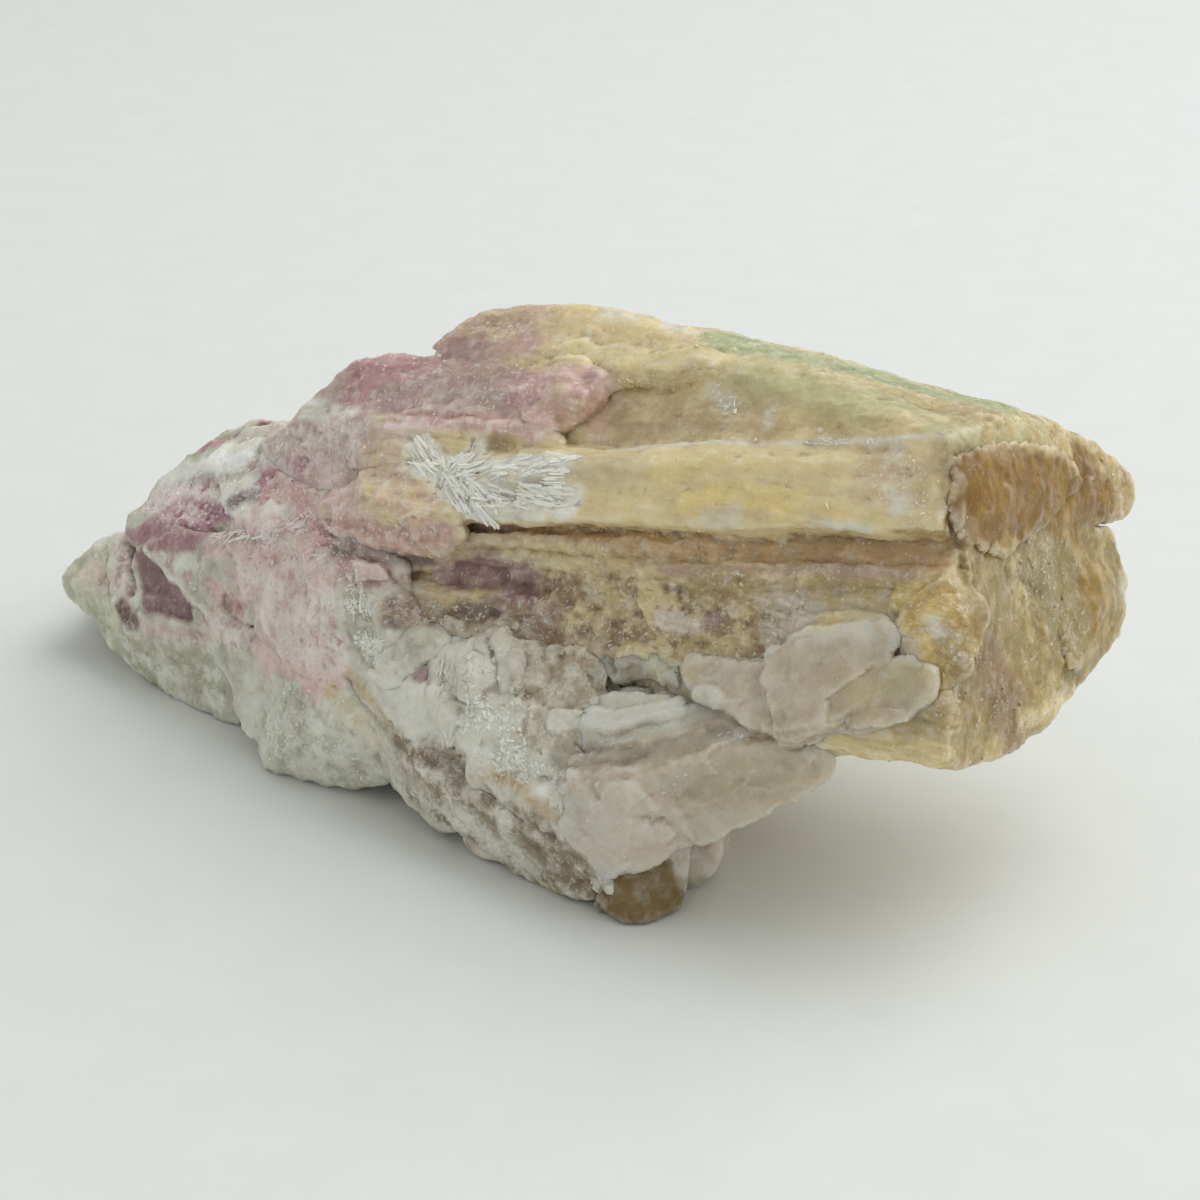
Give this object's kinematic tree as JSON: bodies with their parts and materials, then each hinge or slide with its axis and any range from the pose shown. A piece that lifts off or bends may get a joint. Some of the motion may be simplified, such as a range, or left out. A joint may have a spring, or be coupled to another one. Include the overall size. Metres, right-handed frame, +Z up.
{
  "type": "rubellite in quartz matrix",
  "caption": "Hand specimen of parallel pink, tan and green-rimmed rubellite crystals broken off in a rough white quartz matrix, lying on a surface.",
  "frame": {"origin": "centre of the bounding box on the surface that the specimen lies on", "axes": "+X along the crystals to the broken right-hand end, +Y away from the front, +Z up"},
  "size_m": [0.124, 0.0643, 0.0496],
  "materials": {
    "rubellite": "waxy, lengthwise striated crystal: tan and yellow to the right, pink to mauve to the left, olive green along the top rim, amber on the broken end",
    "matrix": "rough, granular white to pale green quartz and feldspar with mauve pink patches and brown stained seams",
    "glassy_quartz": "translucent rose-beige quartz with a glassy broken surface and fine glints",
    "foot_crystal": "dull yellow-brown weathered crystal"
  },
  "bodies": {
    "root": {"rubellite_crystal": "rubellite", "quartz_matrix": "matrix", "glassy_quartz": "glassy_quartz", "foot_crystal": "foot_crystal"}
  },
  "joints": []
}
